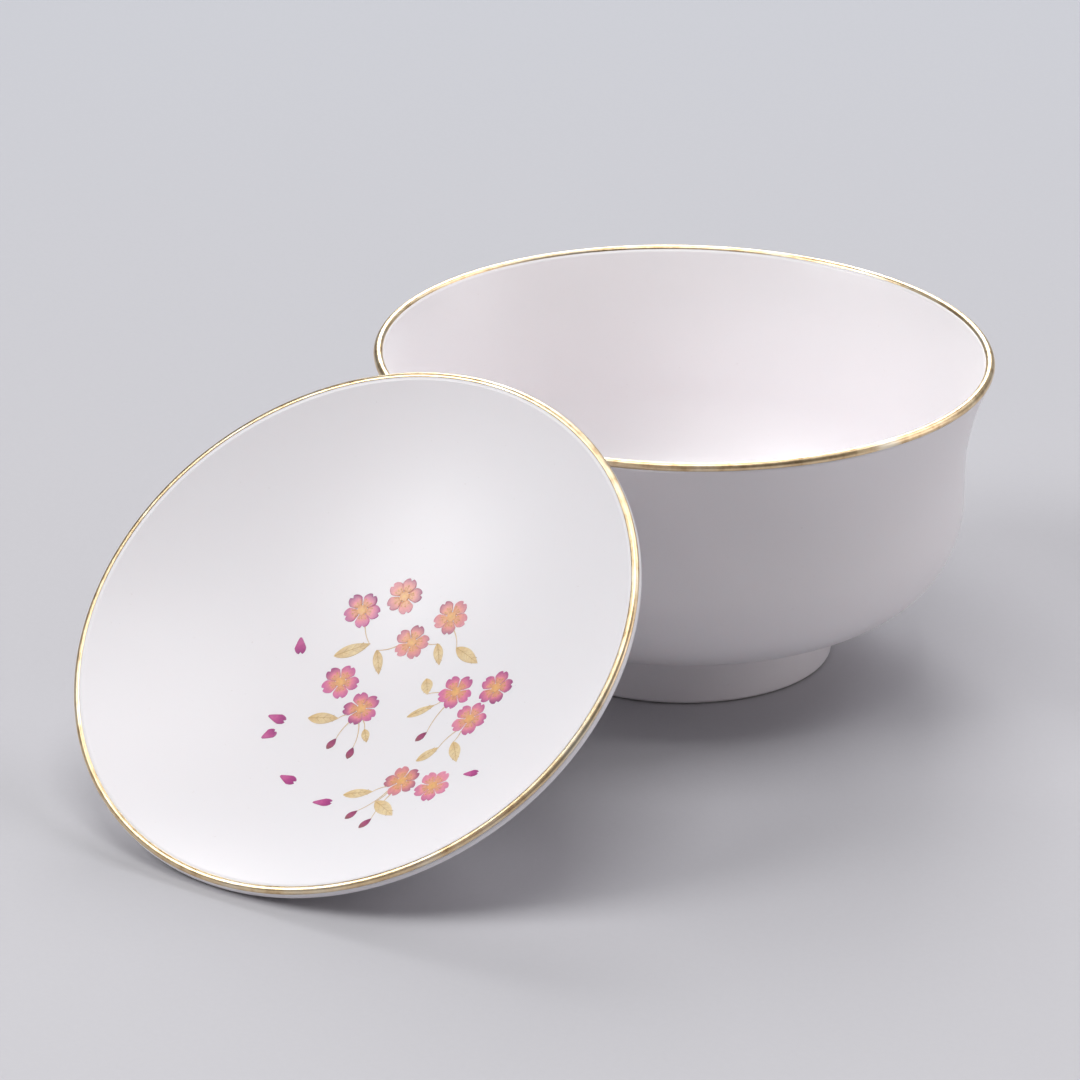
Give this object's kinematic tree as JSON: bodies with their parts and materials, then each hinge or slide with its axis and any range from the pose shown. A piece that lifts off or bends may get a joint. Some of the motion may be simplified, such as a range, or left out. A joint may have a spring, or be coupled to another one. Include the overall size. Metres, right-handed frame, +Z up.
{
  "type": "lidded rice bowl",
  "caption": "White flared rice bowl on a ring foot with gold lip, and a shallow gold-lipped lid printed inside with cherry blossoms, leaning on the bowl; the lid closes the mouth.",
  "frame": {"origin": "centre of the bowl's foot ring, in the plane of the table", "axes": "+Z up along the bowl's axis; the lid leans on the bowl's -Y side, its inside facing -Y and up; +X is to the right seen from there"},
  "size_m": [0.122, 0.2037, 0.0716],
  "materials": {
    "bowl_glaze": "pearl white gloss glaze",
    "lid_glaze": "pearl white gloss glaze",
    "gold_rim": "fired gold, satin gloss",
    "petal_pink": "fired enamel print",
    "heart_gold": "fired enamel print",
    "leaf_gold": "fired enamel print",
    "bud_magenta": "fired enamel print",
    "petal_magenta": "fired enamel print"
  },
  "bodies": {
    "bowl": {"bowl_body": "bowl_glaze", "bowl_rim_gilding": "gold_rim"},
    "lid": {"lid_shell": "lid_glaze", "lid_rim_gilding": "gold_rim", "blossom_petals_print": "petal_pink", "blossom_hearts_print": "heart_gold", "leaves_print": "leaf_gold", "buds_print": "bud_magenta", "loose_petals_print": "petal_magenta"}
  },
  "joints": [
    {"name": "lid_close", "type": "hinge", "parent": "bowl", "child": "lid", "pos_m": [0, -0.05382, 0.06372], "axis": [-0.998, 0.0596, 0.0211], "range_deg": [0, 218.93]}
  ]
}
